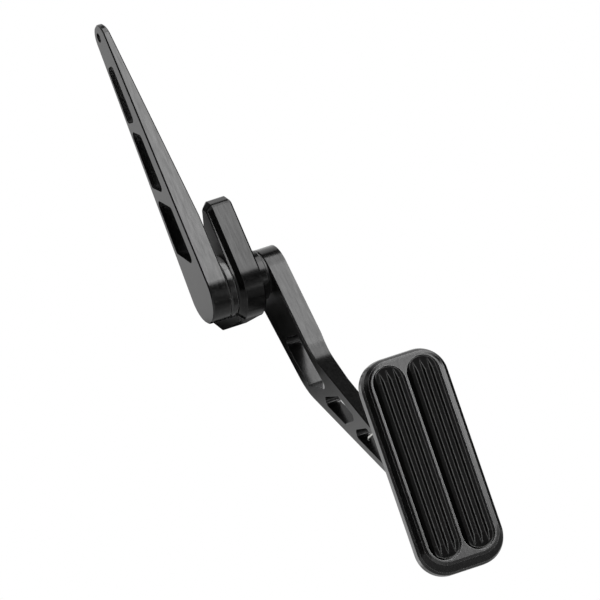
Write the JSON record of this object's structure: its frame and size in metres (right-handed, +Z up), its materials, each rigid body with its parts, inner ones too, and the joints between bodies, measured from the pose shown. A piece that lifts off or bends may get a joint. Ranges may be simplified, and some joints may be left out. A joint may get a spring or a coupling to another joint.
{
  "type": "accelerator pedal",
  "caption": "Firewall-mounted throttle pedal: a pocketed cable lever above the pivot block, a bent windowed arm below it and a hinged pad with ribbed rubber inserts.",
  "frame": {"origin": "middle of the two tapped mounting holes on the block's firewall face", "axes": "+X along the pivot shaft to the driver's right, +Y into the firewall, +Z up the cable lever"},
  "size_m": [0.0775, 0.2444, 0.3892],
  "materials": {
    "black_anodised": "satin black anodised, brushed along the edges",
    "rubber": "matt moulded rubber",
    "black_oxide_steel": "black oxide",
    "ground_steel": "ground",
    "spring_steel": "bright drawn wire",
    "bronze": "sintered, oiled",
    "black_acetal": "turned plastic"
  },
  "bodies": {
    "mount": {"mount_block": "black_anodised", "bush_left": "bronze", "bush_right": "bronze"},
    "pedal": {"throttle_lever": "black_anodised", "lever_set_screw": "black_oxide_steel", "lever_ring": "black_anodised", "pivot_shaft": "ground_steel", "inner_washer": "black_acetal", "shaft_collar": "black_anodised", "collar_set_screw": "black_oxide_steel", "outer_washer": "black_acetal", "pedal_arm": "black_anodised", "arm_washer": "black_oxide_steel", "arm_screw": "black_oxide_steel", "hinge_bush": "black_acetal", "pad_spring": "spring_steel"},
    "pad": {"pad_plate": "black_anodised", "insert_left": "rubber", "insert_right": "rubber", "pad_bracket": "black_anodised", "bracket_screws": "black_oxide_steel", "hinge_pin": "ground_steel", "hinge_clip": "spring_steel"}
  },
  "joints": [
    {"name": "pedal_swing", "type": "hinge", "parent": "mount", "child": "pedal", "pos_m": [0, -0.05, -0.0045], "axis": [1, 0, 0], "range_deg": [0, 18]},
    {"name": "pad_tilt", "type": "hinge", "parent": "pedal", "child": "pad", "pos_m": [0, -0.2094, -0.1668], "axis": [1, 0, 0], "range_deg": [-20, 12], "stiffness_Nm_per_rad": 0.8, "springref_deg": -4.35, "deforming": ["pad_spring"]}
  ]
}
